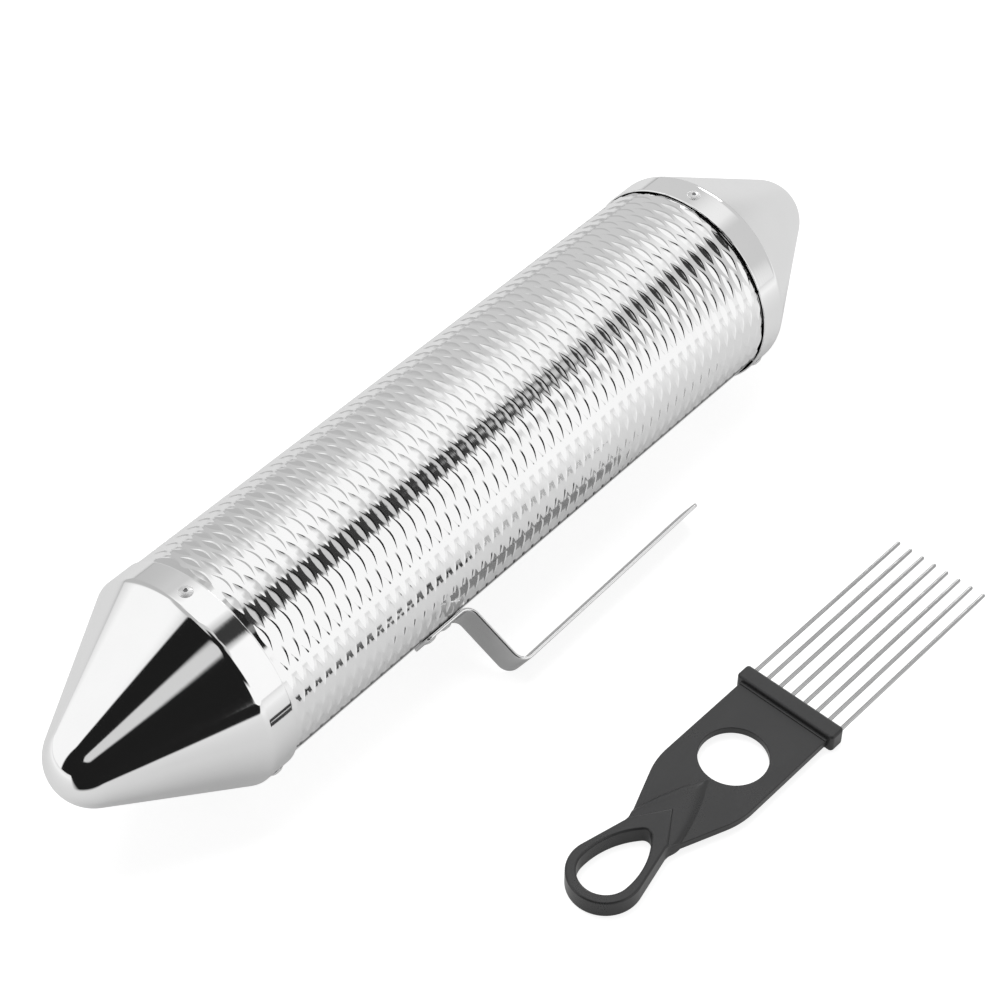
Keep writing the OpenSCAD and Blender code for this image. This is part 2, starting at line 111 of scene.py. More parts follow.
def mesh_object(name, points, faces):
    """A new object from points in millimetres."""
    mesh = bpy.data.meshes.new(name)
    mesh.from_pydata([[part * MM for part in point] for point in points], [], faces)
    return placed(name, mesh)


def settled_mesh(piece):
    """An object's mesh as its modifiers or curve settings make it."""
    return bpy.data.meshes.new_from_object(piece.evaluated_get(bpy.context.evaluated_depsgraph_get()))


def keep_modified(piece, modifier):
    """Keeps what a modifier makes of a piece as its plain mesh."""
    mesh = settled_mesh(piece)
    piece.modifiers.remove(modifier)
    piece.data = mesh


def report(piece):
    triangles = sum(len(face.vertices) - 2 for face in piece.data.polygons)
    print(piece.name, "has", triangles, "triangles")


print("edges stay crisp from", CRISP, "degrees")

# %% [markdown]
# Node trees are easier to read when they are written as sums. A Field holds one socket of a tree, and the
# usual signs of arithmetic on it add Math nodes. It serves geometry trees and shader trees alike.

# %% Node maths written as arithmetic
class Field:
    """A socket of a node tree that takes part in ordinary arithmetic."""

    def __init__(self, tree, socket):
        self.tree = tree
        self.socket = socket

    def maths(self, operation, *others):
        made = self.tree.nodes.new("ShaderNodeMath")
        made.operation = operation
        for place, value in enumerate((self,) + others):
            feed(self.tree, made.inputs[place], value)
        return Field(self.tree, made.outputs[0])

    def __add__(self, other):
        return self.maths("ADD", other)

    def __sub__(self, other):
        return self.maths("SUBTRACT", other)

    def __mul__(self, other):
        return self.maths("MULTIPLY", other)

    def __truediv__(self, other):
        return self.maths("DIVIDE", other)

    def below(self, limit):
        return self.maths("LESS_THAN", limit)

    def above(self, limit):
        return self.maths("GREATER_THAN", limit)

    def clamped(self):
        return self.maths("MAXIMUM", 0.0).maths("MINIMUM", 1.0)

    def pick(self, when_zero, when_one):
        """Goes from the first value to the second as this field goes from 0 to 1."""
        span = as_field(self.tree, when_one) - when_zero
        return self * span + when_zero


def feed(tree, socket, value):
    """Links a field or a socket, or sets a plain value."""
    if isinstance(value, Field):
        tree.links.new(value.socket, socket)
    elif isinstance(value, bpy.types.NodeSocket):
        tree.links.new(value, socket)
    else:
        socket.default_value = value


def as_field(tree, value):
    if isinstance(value, Field):
        return value
    made = tree.nodes.new("ShaderNodeValue")
    made.outputs[0].default_value = value
    return Field(tree, made.outputs[0])


def add_node(tree, kind, inputs=None, **settings):
    made = tree.nodes.new(kind)
    for name, value in settings.items():
        setattr(made, name, value)
    for name, value in (inputs or {}).items():
        feed(tree, made.inputs[name], value)
    return made


print("node maths is ready")

# %% Trees with named inputs, and objects grown from them
FLOAT = "NodeSocketFloat"
VECTOR = "NodeSocketVector"
COLOUR = "NodeSocketColor"
COPY_INPUTS = {"Pattern": "NodeSocketObject", "Count": "NodeSocketInt"}


def new_tree(name, kind, inputs, outputs):
    """A tree with named inputs and outputs, its inputs as fields, and its last node."""
    tree = bpy.data.node_groups.new(name, kind)
    for way, sockets in (("OUTPUT", outputs), ("INPUT", inputs)):
        for label, socket_kind in sockets.items():
            tree.interface.new_socket(label, in_out=way, socket_type=socket_kind)
    entry = tree.nodes.new("NodeGroupInput")
    leave = tree.nodes.new("NodeGroupOutput")
    return tree, {label: Field(tree, entry.outputs[label]) for label in inputs}, leave


def new_geometry_tree(name, inputs):
    """A tree that takes a material among its inputs and puts out a geometry."""
    inputs = {**inputs, "Material": "NodeSocketMaterial"}
    return new_tree(name, "GeometryNodeTree", inputs, {"Geometry": "NodeSocketGeometry"})


def end_geometry_tree(tree, given, leave, geometry):
    """Every geometry tree ends by making its copies real and by setting the material."""
    real = add_node(tree, "GeometryNodeRealizeInstances", {"Geometry": geometry})
    inputs = {"Geometry": real.outputs[0], "Material": given["Material"]}
    dressed = add_node(tree, "GeometryNodeSetMaterial", inputs)
    tree.links.new(dressed.outputs[0], leave.inputs[0])


def end_with_copies(tree, given, leave, spot, turn):
    """Ends a tree with copies of a pattern, each at its own spot and turn."""
    points = add_node(tree, "GeometryNodePoints", {"Count": given["Count"], "Position": spot.outputs[0]})
    single = add_node(tree, "GeometryNodeObjectInfo", {"Object": given["Pattern"]})
    copies = add_node(tree, "GeometryNodeInstanceOnPoints", {
        "Points": points.outputs[0],
        "Instance": single.outputs["Geometry"],
        "Rotation": turn.outputs[0],
    })
    end_geometry_tree(tree, given, leave, copies.outputs[0])


def grown_object(name, tree, values):
    """Runs a geometry tree with the given values and keeps its result as a plain mesh."""
    host = placed(name, bpy.data.meshes.new(name))
    modifier = host.modifiers.new("grow", "NODES")
    modifier.node_group = tree
    for item in tree.interface.items_tree:
        if item.item_type == "SOCKET" and item.in_out == "INPUT":
            modifier[item.identifier] = values[item.name]
    keep_modified(host, modifier)
    host.data.name = name
    return host


print("each row of copies takes:", *COPY_INPUTS)

# %% [markdown]
# Polished steel is never quite even: fine lines from the polishing wheel and a faint haze from handling
# change how sharply it mirrors. Both are noise, stretched along the wheel's direction for the lines and
# left round for the haze. They are one group, because every steel piece wears them in its own measure.

# %% A group for polishing lines and handling haze
POLISH_INPUTS = {
    "Bright Tone": COLOUR,
    "Dull Tone": COLOUR,
    "Line Stretch": VECTOR,
    "Base Roughness": FLOAT,
    "Line Roughness": FLOAT,
    "Haze Roughness": FLOAT,
    "Haze Scale": FLOAT,
}


def grey(level):
    return (level, level, level, 1.0)


def mixed(tree, share, one, two):
    """Goes from one colour to another as the share goes from 0 to 1."""
    return add_node(tree, "ShaderNodeMix", {0: share, 6: one, 7: two}, data_type="RGBA").outputs[2]


def noise(tree, vector, scale, detail=3.0):
    made = add_node(tree, "ShaderNodeTexNoise", {"Vector": vector, "Scale": scale, "Detail": detail})
    return Field(tree, made.outputs["Fac"])


outputs = {"Color": COLOUR, "Roughness": FLOAT, "Height": FLOAT}
inputs = {"Vector": VECTOR, **POLISH_INPUTS}
polish_group, given, leave = new_tree("polish_and_haze", "ShaderNodeTree", inputs, outputs)
factors = {0: given["Vector"], 1: given["Line Stretch"]}
stretched = add_node(polish_group, "ShaderNodeVectorMath", factors, operation="MULTIPLY")
lines = noise(polish_group, stretched.outputs[0], scale=1.0, detail=4.0)
haze = noise(polish_group, given["Vector"], given["Haze Scale"])
roughness = lines * given["Line Roughness"] + haze * given["Haze Roughness"]
feed(polish_group, leave.inputs["Roughness"], roughness + given["Base Roughness"])
tone = mixed(polish_group, haze, given["Bright Tone"], given["Dull Tone"])
feed(polish_group, leave.inputs["Color"], tone)
feed(polish_group, leave.inputs["Height"], lines)
print("group:", polish_group.name)

# %% [markdown]
# The steels differ only in how finely they are polished. The caps were spun on a lathe, so their lines run
# round the axis. The tube's sheet was polished flat before it was pressed and rolled, and its lap edge
# carries a painted shade line. The strap's faces are dull and its edges carry a painted highlight, the rivets
# are soft aluminium, and the wires are drawn, so their lines run along them.

# %% Steel and aluminium finishes
LINE_HEIGHT = 0.0001
METALS = {
    # what the polish group takes, in its order, and then the strength of the relief
    "tube_steel": (grey(0.96), grey(0.90), (2500, 120, 120), 0.03, 0.03, 0.04, 45, 0.05),
    "cap_steel": (grey(0.97), grey(0.92), (3000, 25, 25), 0.02, 0.03, 0.03, 60, 0.04),
    "strap_steel": (grey(0.66), grey(0.55), (60, 2500, 2500), 0.14, 0.08, 0.05, 90, 0.15),
    "rivet_metal": (grey(0.96), grey(0.88), (900, 900, 900), 0.36, 0.10, 0.08, 400, 0.2),
    "stem_steel": ((0.42, 0.42, 0.43, 1.0), grey(0.28), (1500, 1500, 1500), 0.35, 0.2, 0.1, 600, 0.5),
    "wire_steel": (grey(0.60), grey(0.46), (40, 4000, 4000), 0.05, 0.06, 0.04, 120, 0.15),
}


def new_material(name):
    material = bpy.data.materials.new(name)
    material.use_nodes = True
    tree = material.node_tree
    shader = tree.nodes["Principled BSDF"]
    coordinates = tree.nodes.new("ShaderNodeTexCoord")
    return material, tree, shader, coordinates.outputs["Object"]


def coat(tree, shader, tone, roughness, height, strength, distance):
    """Gives a shader its tone, its roughness and a fine relief."""
    relief = add_node(tree, "ShaderNodeBump", {"Height": height, "Strength": strength, "Distance": distance})
    feed(tree, shader.inputs["Base Color"], tone)
    feed(tree, shader.inputs["Roughness"], roughness)
    feed(tree, shader.inputs["Normal"], relief.outputs["Normal"])


def make_metal(name):
    *finish, bump = METALS[name]
    material, tree, shader, position = new_material(name)
    inputs = {"Vector": position, **dict(zip(POLISH_INPUTS, finish))}
    polish = add_node(tree, "ShaderNodeGroup", inputs, node_tree=polish_group, name="Polish")
    coat(tree, shader, *polish.outputs, bump, LINE_HEIGHT)
    shader.inputs["Metallic"].default_value = 1.0
    return material


def paint_light_on_edges(material, level, fade):
    """Mixes a grey into a metal wherever the mesh carries the edge mark, to paint a highlight or a shade line
    along an edge.
    """
    tree = material.node_tree
    mark = add_node(tree, "ShaderNodeAttribute", attribute_name="edge_mark").outputs["Fac"]
    share = Field(tree, mark).maths("POWER", fade)
    tone = mixed(tree, share, tree.nodes["Polish"].outputs["Color"], grey(level))
    feed(tree, tree.nodes["Principled BSDF"].inputs["Base Color"], tone)


metals = {name: make_metal(name) for name in METALS}
# A painted highlight along the strap's edges
paint_light_on_edges(metals["strap_steel"], level=0.95, fade=1.0)
# A painted shade line along the tube's lap edge
paint_light_on_edges(metals["tube_steel"], level=0.02, fade=0.4)
print("metals:", *metals)

# %% [markdown]
# The scraper is moulded in black plastic. A spark-eroded mould leaves a fine even grain on it, which breaks
# up the reflections, and handling has polished it in patches.

# %% Moulded plastic
MOULD_SCALE = 2600.0
MOULD_HEIGHT = 0.00008
MOULD_RELIEF = 0.03
PATCH_SCALE = 45.0
PLASTIC_TONE = grey(0.030)
RUBBED_TONE = (0.023, 0.023, 0.024, 1.0)
BASE_ROUGHNESS = 0.23
PATCH_ROUGHNESS = 0.08
GRAIN_ROUGHNESS = 0.03

scraper_plastic, tree, shader, position = new_material("scraper_plastic")
grain = noise(tree, position, MOULD_SCALE, detail=2.0)
handling = noise(tree, position, PATCH_SCALE, detail=2.0)
tone = mixed(tree, handling, PLASTIC_TONE, RUBBED_TONE)
roughness = handling * PATCH_ROUGHNESS + grain * GRAIN_ROUGHNESS + BASE_ROUGHNESS
coat(tree, shader, tone, roughness, grain, MOULD_RELIEF, MOULD_HEIGHT)
print("plastic:", scraper_plastic.name)

# %% [markdown]
# The tube is the heart of the instrument. On the real one a flat sheet goes through pattern rollers, which
# press rows of lens-shaped grains into it, and is then rolled up with one edge lapped over the other.
# A modifier could displace a fine grid, but a grid that ignores the grains would need millions of faces.
# Here the grid's lines bend round every grain instead, so that a few faces give each one a crisp outline.
# Around the tube the grid has columns, and along it a group of five lines for each row. Grains and flats
# take turns in both directions, and a grain is longer than its column, so it reaches between its neighbours.

# %% Sizes of the sheet and counts of its grid
TUBE_R = 40.4
SHEET = 0.6
SEAM_W = 18.6
SHEET_SIZES = {
    "Radius": TUBE_R,
    "Sheet Thickness": SHEET,
    "Row Pitch": 2.4,
    "Grain Half Width": 1.25,
    "Flat Half Width": 0.9,
    "Tip Half Width": 0.1,
    "Bulge": 0.3,
    "Grain Depth": 0.4,
    "Plain End": 123.4,
    "Tube End": 133.2,
    "End Drop": 0.35,
    "Lap Rise": 0.15,
}
COLUMNS = 32
COLUMN_STEPS = 5
MARGIN_STEPS = 6
LAP_STEPS = 3
ROWS = 102
ROW_LINES = 5
END_LINES = 2
GRAIN_REACH = 0.65
FLAT_REACH = 0.6
NEAR_WALL = 0.07
WALL_DRAW = 1.4
FLOOR_LEAN = 0.4
WALL_RISE = 5.0
END_FADE = 1.5
NUDGE = 0.001
AROUND = COLUMNS * COLUMN_STEPS + MARGIN_STEPS + LAP_STEPS
ALONG = ROWS * ROW_LINES + 2 * END_LINES - 1
DIVE_COLUMNS = 4
SEAM_HALF = SEAM_W / 2 / TUBE_R
BAND_STEP = (2 * math.pi - 2 * SEAM_HALF) / COLUMNS
MARGIN_STEP = 2 * SEAM_HALF / MARGIN_STEPS
print("grid of", AROUND, "by", ALONG, "faces")

# %% A tree that starts from a flat grid
sheet_tree, given, leave = new_geometry_tree("pressed_sheet", dict.fromkeys(SHEET_SIZES, FLOAT))
counts = {"Size X": 1.0, "Size Y": 1.0, "Vertices X": AROUND + 1, "Vertices Y": ALONG + 1}
grid = add_node(sheet_tree, "GeometryNodeMeshGrid", counts)
place = add_node(sheet_tree, "GeometryNodeInputPosition")
split = add_node(sheet_tree, "ShaderNodeSeparateXYZ", {0: place.outputs[0]})
step = ((Field(sheet_tree, split.outputs[0]) + 0.5) * AROUND).maths("ROUND")
line = ((Field(sheet_tree, split.outputs[1]) + 0.5) * ALONG).maths("ROUND") - END_LINES
print("inputs of the sheet:", len(given))

# %% Round the tube: the pressed band, then the plain margin and the part that lies under the lap
in_columns = step / COLUMN_STEPS
column = (in_columns + NUDGE).maths("FLOOR")
is_margin = in_columns.above(COLUMNS - NUDGE)
past_band = step - COLUMNS * COLUMN_STEPS
band_angle = in_columns * BAND_STEP + SEAM_HALF
margin_angle = past_band * MARGIN_STEP + (2 * math.pi - SEAM_HALF)
angle = is_margin.pick(band_angle, margin_angle) + ROLL
dive = ((in_columns - (COLUMNS - DIVE_COLUMNS)) / DIVE_COLUMNS).clamped()
base = given["Radius"] - dive * given["Sheet Thickness"]
print("columns round the tube:", COLUMNS)

# %% Along the tube: a group of lines for each row, spread to the outline of the grain or flat there
row = (line / ROW_LINES + NUDGE).maths("FLOOR").maths("MAXIMUM", 0.0).maths("MINIMUM", ROWS - 1)
# The lines of a row stand at -1, -0.5, 0, 0.5 and 1, and the first is the top of the grain's wall
offset = (line - row * ROW_LINES) / ((ROW_LINES - 1) / 2) - 1.0
past_wall = offset.above(-0.75)
run = ((offset + 0.5) / 1.5).clamped()
reach = (run * -1.0 + 1.0).maths("POWER", WALL_DRAW) * -1.0 + 1.0
widened = (reach * (2 - NEAR_WALL) + NEAR_WALL) * past_wall - 1.0
across = ((in_columns - column) * 2.0 - 1.0).maths("ABSOLUTE")
is_flat = (row + column).maths("MODULO", 2.0)
is_band = (is_margin * -1.0 + 1.0) * in_columns.above(NUDGE)
from_grain = is_flat.pick(across * 0.5, across * -0.5 + 1.0) / GRAIN_REACH
swell = (from_grain * from_grain * -1.0 + 1.0).maths("MAXIMUM", 0.0) * is_band
from_flat = across / FLAT_REACH
spread = (from_flat * from_flat * -1.0 + 1.0).maths("MAXIMUM", 0.0) * is_flat * is_band
half = swell * given["Grain Half Width"] + spread * given["Flat Half Width"] + given["Tip Half Width"]
bulge = (swell + spread) * given["Bulge"]
row_x = (row - (ROWS - 1) / 2) * given["Row Pitch"] + widened * half + bulge
is_past = (line + 0.5).below(0.0) + (line + 0.5).above(ROWS * ROW_LINES)
is_end = (line + 1.5).below(0.0) + (line - 0.5).above(ROWS * ROW_LINES)
side = line.above(ROWS * ROW_LINES / 2) * 2.0 - 1.0
plain_x = is_end.pick(given["Plain End"], given["Tube End"]) * side
x = is_past.pick(row_x, plain_x)
print("rows along the tube:", ROWS)

# %% Depth of a grain: it drops at a thin wall, leans up along the tube and ends in a steeper rise
is_grain = is_past * -1.0 + 1.0
rise = reach * FLOOR_LEAN + reach.maths("POWER", WALL_RISE) * (1 - FLOOR_LEAN)
depth = (rise * -1.0 + 1.0) * past_wall
ends = (swell * END_FADE).clamped()
pressed = depth * ends * is_grain * given["Grain Depth"]
is_edge = step.below(0.5)
drawn_in = is_past * given["End Drop"] - is_edge * given["Lap Rise"]
radius = base - pressed - drawn_in
y = radius * angle.maths("SINE") * -1.0 + AXIS_Y * MM
z = radius * angle.maths("COSINE") * -1.0 + AXIS_Z * MM
point = add_node(sheet_tree, "ShaderNodeCombineXYZ", {0: x, 1: y, 2: z})

# The mark for the painted shade line at the lap edge is set on the flat grid, because the steps are read from
# its points
mark = {"Geometry": grid.outputs["Mesh"], "Name": "edge_mark", "Value": is_edge}
marked = add_node(sheet_tree, "GeometryNodeStoreNamedAttribute", mark, data_type="FLOAT", domain="POINT")
inputs = {"Geometry": marked.outputs[0], "Position": point.outputs[0]}
rolled = add_node(sheet_tree, "GeometryNodeSetPosition", inputs)
end_geometry_tree(sheet_tree, given, leave, rolled.outputs[0])
print("tree", sheet_tree.name, "with", len(sheet_tree.nodes), "nodes")

# %% [markdown]
# The grid above is only the outer skin. A plain inner skin and four narrow edges close it to a shell with
# the thickness of the sheet, which shows at the lap as a fine step.

# %% The embossed tube
def close_sheet(piece):
    """Adds the inner skin and the edges to the pressed grid."""
    shape = bmesh.new()
    shape.from_mesh(piece.data)
    pressed = list(shape.verts)

    def outer(step, line):
        return pressed[step * (ALONG + 1) + line]

    axis = Vector((0.0, AXIS_Y * MM, AXIS_Z * MM))
    inner = []
    for step in range(AROUND + 1):
        pair = []
        for line in (0, ALONG):
            spot = outer(step, line).co
            spoke = Vector((0.0, spot.y - axis.y, spot.z - axis.z))
            pair.append(shape.verts.new(spot - spoke.normalized() * SHEET * MM))
        inner.append(pair)
    for step in range(AROUND):
        low, low_end = inner[step]
        high, high_end = inner[step + 1]
        shape.faces.new((low, high, high_end, low_end))
        shape.faces.new((low, high, outer(step + 1, 0), outer(step, 0)))
        shape.faces.new((low_end, high_end, outer(step + 1, ALONG), outer(step, ALONG)))
    for step in (0, AROUND):
        edge = [outer(step, line) for line in range(ALONG + 1)]
        shape.faces.new(edge + [inner[step][1], inner[step][0]])
    shape.to_mesh(piece.data)
    shape.free()


sheet_values = {label: size * MM for label, size in SHEET_SIZES.items()}
tube = grown_object("embossed_tube", sheet_tree, {**sheet_values, "Material": metals["tube_steel"]})
close_sheet(tube)
finish_mesh(tube.data, crisp=10)
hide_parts("body_tube")
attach(tube, "guiro")
report(tube)

# %% [markdown]
# The caps are spun: a disc of steel is pressed against a turning form until it has the form's shape. Code
# can do the same with a profile that is carried round an axis. The profile goes up the outside from the
# collar's rim, over the bend and the cone to the rounded tip, and back down the inside.

# %% Helpers for profiles, skins and outlines
TURN_STEPS = 192
ON_AXIS = 1e-6


def skin(rings):
    """Faces between each ring of point numbers and the next, without the corners that fall together."""
    faces = []
    for one, two in zip(rings, rings[1:]):
        for index in range(len(one)):
            after = (index + 1) % len(one)
            corners = dict.fromkeys((one[index], one[after], two[after], two[index]))
            if len(corners) > 2:
                faces.append(list(corners))
    return faces


def turned(profile, steps, closed):
    """Points and faces of a profile of (along, radius) pairs, turned about the first coordinate."""
    points = []
    rings = []
    for along, radius in profile:
        if radius < ON_AXIS:
            rings.append([len(points)] * steps)
            points.append((along, 0.0, 0.0))
            continue
        rings.append(list(range(len(points), len(points) + steps)))
        for index in range(steps):
            angle = 2 * math.pi * index / steps
            points.append((along, radius * math.cos(angle), radius * math.sin(angle)))
    return points, skin(rings + rings[:1] if closed else rings)


def arc(centre, radius, start, stop, steps):
    """Points on an arc, with its two ends."""
    made = []
    for index in range(steps + 1):
        angle = start + (stop - start) * index / steps
        made.append((centre[0] + radius * math.cos(angle), centre[1] + radius * math.sin(angle)))
    return made


def rounded_outline(low_u, high_u, half, corner, steps):
    """A rectangle with round corners."""
    outline = []
    for u, v, start in (
        (high_u - corner, half - corner, 0.0),
        (low_u + corner, half - corner, math.pi / 2),
        (low_u + corner, corner - half, math.pi),
        (high_u - corner, corner - half, 3 * math.pi / 2),
    ):
        outline.extend(arc((u, v), corner, start, start + math.pi / 2, steps))
    return outline


print("a full turn has", TURN_STEPS, "steps")

# %% The two cone caps
COLLAR_R = 41.0
CAP_WALL = 0.5
RIM_X = 124.0
CONE_X = 134.7
CONE_LEN = 55.5
TIP_R = 16.5
SHOULDER_R = 4.0
RIM_ROUND = 0.2
HOLD = 0.3


def cap_side(inset, steps):
    """Half of a cap's profile from the rim to the axis, drawn in from the outer face by an inset."""
    tip_u = CONE_LEN - TIP_R
    fall = math.atan2(COLLAR_R, tip_u) - math.asin(TIP_R / math.hypot(COLLAR_R, tip_u))
    bend = (-SHOULDER_R * math.tan(fall / 2), COLLAR_R - SHOULDER_R)
    across = math.pi / 2
    side = [(bend[0] - HOLD, COLLAR_R - inset)]
    side += arc(bend, SHOULDER_R - inset, across, across - fall, 10)
    cone_from = side[-1]
    tip = arc((tip_u, 0.0), TIP_R - inset, across - fall, 0.0, steps)
    for share in (0.01, 0.25, 0.5, 0.75, 0.99):
        side.append(tuple(a + (b - a) * share for a, b in zip(cone_from, tip[0])))
    side.extend(tip[:-1])
    side.append((CONE_LEN - inset, 0.0))
    return side


def make_cap(name, node, sign):
    rim = RIM_X - CONE_X
    outer = cap_side(0.0, 28)
    inner = cap_side(CAP_WALL, 14)
    lip = arc((rim + RIM_ROUND, COLLAR_R - RIM_ROUND), RIM_ROUND, math.pi, math.pi / 2, 4)
    start = [(rim, COLLAR_R - CAP_WALL), *lip, (rim + RIM_ROUND + HOLD, COLLAR_R)]
    spots, faces = turned(inner[::-1] + start + outer, TURN_STEPS, closed=False)
    points = [(sign * (CONE_X + x), AXIS_Y + y, AXIS_Z + z) for x, y, z in spots]
    cap = mesh_object(name, points, faces)
    cap.data.materials.append(metals["cap_steel"])
    finish_mesh(cap.data, crisp=40)
    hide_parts(node)
    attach(cap, "guiro")
    report(cap)


make_cap("spun_cap_front", "front_cone", -1)
make_cap("spun_cap_rear", "rear_cone", 1)

# %% [markdown]
# Blind rivets hold the caps and the handle: a soft sleeve with a low round head, and a steel stem that was
# pulled through it, swelled its inner end and snapped off inside. Each row of them repeats one rivet, so a
# geometry tree sets copies at steps along the tube and at steps round it.

# %% The tree that sets a row of rivets
steps = dict.fromkeys(("First Along", "Step Along", "First Angle", "Step Angle"), FLOAT)
row_tree, given, leave = new_geometry_tree("set_in_row", {**COPY_INPUTS, **steps})
index = Field(row_tree, add_node(row_tree, "GeometryNodeInputIndex").outputs[0])
along = index * given["Step Along"] + given["First Along"]
turn = (index * given["Step Angle"] + given["First Angle"]) * -1.0 + math.pi
spot = add_node(row_tree, "ShaderNodeCombineXYZ", {0: along, 1: AXIS_Y * MM, 2: AXIS_Z * MM})
tilt = add_node(row_tree, "ShaderNodeCombineXYZ", {0: turn})
end_with_copies(row_tree, given, leave, spot, tilt)
print("tree", row_tree.name, "with", len(row_tree.nodes), "nodes")

# %% Rivet sleeves and stems
HEAD_R = 2.5
HEAD_H = 0.8
HEAD_EDGE_R = 0.05
HEAD_EDGE_H = 0.12
SHANK_R = 1.2
BLIND_R = 1.8
BLIND_LEN = 2.6
STEM_R = 0.7
STEM_GAP = 0.02
STEM_HEAD_R = 1.25
STEM_SINK = 0.45
BLIND_EDGE = 0.3
HOLE_EDGE = 0.15
BREAK_EDGE = 0.12
BREAK_DIP = 0.08
BREAK_PEAK = 0.05
RIVET_STEPS = 40


def upright(name, profile, closed):
    """A single rivet part on the Z axis, as a pattern for its row."""
    spots, faces = turned(profile, RIVET_STEPS, closed)
    pattern = mesh_object(name, [(y, z, x) for x, y, z in spots], faces)
    finish_mesh(pattern.data, crisp=35)
    return pattern


def sleeve_profile(seat, inside):
    dome_r = (HEAD_R ** 2 + HEAD_H ** 2) / (2 * HEAD_H)
    middle = (seat + HEAD_H - dome_r, 0.0)
    rise = math.asin(HEAD_R / dome_r)
    hole = math.asin((STEM_R + HOLE_EDGE) / dome_r)
    dome = arc(middle, dome_r, rise, hole, 10)
    top = dome[-1][0]
    base = inside - BLIND_LEN
    return [
        (base, STEM_R),
        (base, BLIND_R - BLIND_EDGE),
        (base + BLIND_EDGE, BLIND_R),
        (inside - BLIND_EDGE, BLIND_R),
        (inside, BLIND_R - BLIND_EDGE),
        (inside, SHANK_R),
        (seat, SHANK_R),
        (seat, HEAD_R - HEAD_EDGE_R),
        (seat + HEAD_EDGE_H, HEAD_R),
        *dome[1:],
        (top - HOLE_EDGE, STEM_R),
    ]


def stem_profile(seat, inside):
    base = inside - BLIND_LEN
    top = seat + HEAD_H - STEM_SINK
    radius = STEM_R - STEM_GAP
    ball = arc((base, 0.0), STEM_HEAD_R, math.pi, math.pi / 2, 8)
    return [
        (base - STEM_HEAD_R, 0.0),
        *ball[1:],
        (base, radius),
        (top - BREAK_EDGE, radius),
        (top, radius - BREAK_EDGE),
        (top - BREAK_DIP, radius / 2),
        (top + BREAK_PEAK, 0.0),
    ]


def rivet_row(name, node, count, first, step, turn, seat):
    """A row of rivets with heads at the radius of their seat, and of the stems inside them."""
    inside = MARGIN_R - SHEET
    for part, profile, closed, slot in (
        ("rivets", sleeve_profile, True, "rivet_metal"),
        ("mandrels", stem_profile, False, "stem_steel"),
    ):
        pattern = upright("pattern", profile(seat, inside), closed)
        row = grown_object(f"{name}_{part}", row_tree, {
            "Pattern": pattern,
            "Count": count,
            "First Along": first * MM,
            "Step Along": step * MM,
            "First Angle": ROLL,
            "Step Angle": turn,
            "Material": metals[slot],
        })
        bpy.data.objects.remove(pattern)
        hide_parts(f"{node}_{part}")
        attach(row, "guiro")
        report(row)


THIRD = 2 * math.pi / 3
RIVET_X = 129.35
FOOT_RIVET_X = -55.0
FOOT_RIVET_STEP = 8.0
MARGIN_R = TUBE_R - SHEET
STRAP_T = 1.3
rivet_row("set_front", "front", 3, -RIVET_X, 0.0, THIRD, COLLAR_R)
rivet_row("set_rear", "rear", 3, RIVET_X, 0.0, THIRD, COLLAR_R)
rivet_row("set_handle", "handle", 2, FOOT_RIVET_X, FOOT_RIVET_STEP, 0.0, MARGIN_R + STRAP_T)

# %% [markdown]
# The handle is one flat strap, bent twice. Its foot is riveted to the tube's margin, its leg stands off the
# tube and its grip runs back along it. A section is swept along the strap's line: a flat bar with softly
# broken edges, which gets narrower in the last millimetres so that the corners come out round.

# %% The strap handle
STRAP_W = 14.0
STRAP_EDGE = 0.6
STRAP_CORNER = 2.5
FOOT_X = -59.5
FOOT_LEN = 17.0
GRIP_OUT = 68.2
GRIP_LEN = 94.0
LEG_TURN = math.radians(90 - 3)
GRIP_LEAN = math.radians(0.8)
FOOT_BEND = 3.7
GRIP_BEND = 4.2
BEND_STEPS = 16
END_STATIONS = (0.0, 0.06, 0.15, 0.3, 0.55, 0.85, 1.2, 1.7, 2.2, STRAP_CORNER)


def bent(centre, radius, start, stop):
    """Stations on a bend from one direction to another; a radius below zero bends the other way."""
    stations = []
    for index in range(BEND_STEPS + 1):
        turn = start + (stop - start) * index / BEND_STEPS
        stations.append((centre[0] + radius * math.sin(turn), centre[1] - radius * math.cos(turn), turn))
    return stations


def strap_line():
    """Stations of (along, out, direction) on the middle of the strap."""
    mid_1 = FOOT_BEND + STRAP_T / 2
    mid_2 = GRIP_BEND + STRAP_T / 2
    foot_out = MARGIN_R + STRAP_T / 2
    grip_out = GRIP_OUT - STRAP_T / 2
    centre_1 = (FOOT_X + FOOT_LEN, foot_out + mid_1)
    leg_1 = (centre_1[0] + mid_1 * math.sin(LEG_TURN), centre_1[1] - mid_1 * math.cos(LEG_TURN))
    leg_len = (grip_out - leg_1[1] - mid_2 * (1 - math.cos(LEG_TURN))) / math.sin(LEG_TURN)
    leg_2 = (leg_1[0] + leg_len * math.cos(LEG_TURN), leg_1[1] + leg_len * math.sin(LEG_TURN))
    centre_2 = (leg_2[0] + mid_2 * math.sin(LEG_TURN), leg_2[1] - mid_2 * math.cos(LEG_TURN))
    stations = [(FOOT_X + run, foot_out, 0.0) for run in (*END_STATIONS, FOOT_LEN * 0.6)]
    stations += bent(centre_1, mid_1, 0.0, LEG_TURN)
    stations += bent(centre_2, -mid_2, LEG_TURN, -GRIP_LEAN)
    grip_x, grip_r, _ = stations[-1]
    ends = [GRIP_LEN - back for back in reversed(END_STATIONS)]
    for run in (GRIP_LEN * 0.33, GRIP_LEN * 0.66, *ends):
        spot_r = grip_r - run * math.sin(GRIP_LEAN)
        stations.append((grip_x + run * math.cos(GRIP_LEAN), spot_r, -GRIP_LEAN))
    return stations


